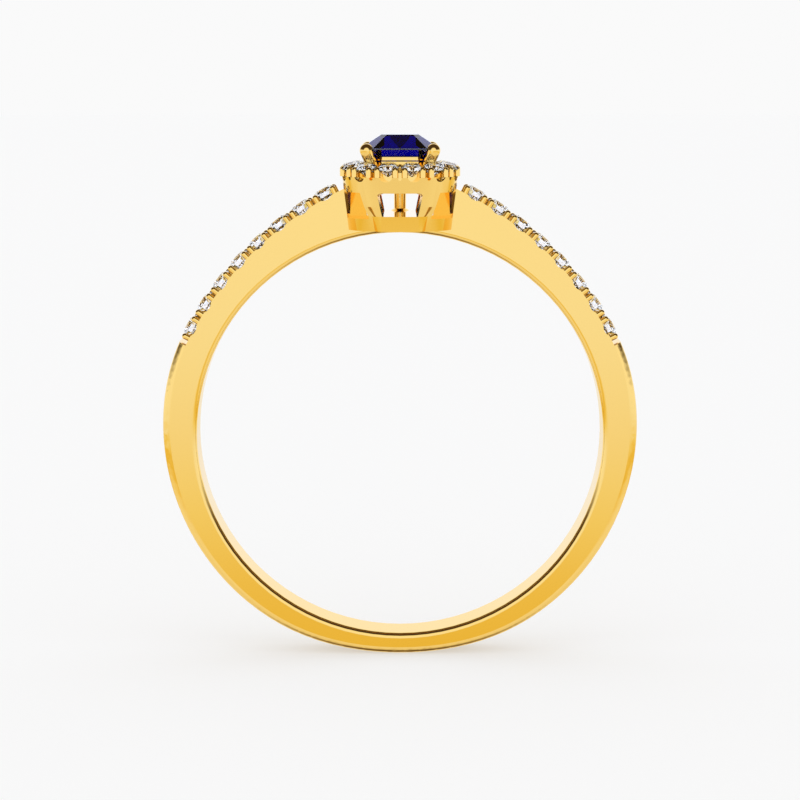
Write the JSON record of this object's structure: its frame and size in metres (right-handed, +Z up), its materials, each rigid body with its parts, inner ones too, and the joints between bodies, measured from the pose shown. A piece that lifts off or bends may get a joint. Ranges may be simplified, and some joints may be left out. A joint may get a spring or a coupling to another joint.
{
  "type": "engagement ring",
  "caption": "Yellow gold halo engagement ring: thin band with stone-set cathedral shoulders, windowed gallery head, clawed blue step-cut stone and a round-stone halo.",
  "frame": {"origin": "centre of the finger bore", "axes": "+Y along the finger bore, +Z up to the centre stone, +X across the shoulders"},
  "size_m": [0.0192, 0.006, 0.0212],
  "materials": {
    "yellow_gold": "polished",
    "diamond": "polished",
    "sapphire": "polished"
  },
  "bodies": {
    "root": {"centre_sapphire": "sapphire", "claw_front_left": "yellow_gold", "claw_front_right": "yellow_gold", "claw_rear_left": "yellow_gold", "claw_rear_right": "yellow_gold", "gallery_wall": "yellow_gold", "halo_beads": "yellow_gold", "halo_diamond_01": "diamond", "halo_diamond_02": "diamond", "halo_diamond_03": "diamond", "halo_diamond_04": "diamond", "halo_diamond_05": "diamond", "halo_diamond_06": "diamond", "halo_diamond_07": "diamond", "halo_diamond_08": "diamond", "halo_diamond_09": "diamond", "halo_diamond_10": "diamond", "halo_diamond_11": "diamond", "halo_diamond_12": "diamond", "halo_diamond_13": "diamond", "halo_diamond_14": "diamond", "halo_diamond_15": "diamond", "halo_diamond_16": "diamond", "halo_plate": "yellow_gold", "head_base": "yellow_gold", "left_shoulder_beads": "yellow_gold", "left_shoulder_diamond_1": "diamond", "left_shoulder_diamond_2": "diamond", "left_shoulder_diamond_3": "diamond", "left_shoulder_diamond_4": "diamond", "left_shoulder_diamond_5": "diamond", "left_shoulder_diamond_6": "diamond", "left_shoulder_diamond_7": "diamond", "left_shoulder_diamond_8": "diamond", "rear_post": "yellow_gold", "right_shoulder_beads": "yellow_gold", "right_shoulder_diamond_1": "diamond", "right_shoulder_diamond_2": "diamond", "right_shoulder_diamond_3": "diamond", "right_shoulder_diamond_4": "diamond", "right_shoulder_diamond_5": "diamond", "right_shoulder_diamond_6": "diamond", "right_shoulder_diamond_7": "diamond", "right_shoulder_diamond_8": "diamond", "seat_rail": "yellow_gold", "shank": "yellow_gold"}
  },
  "joints": []
}
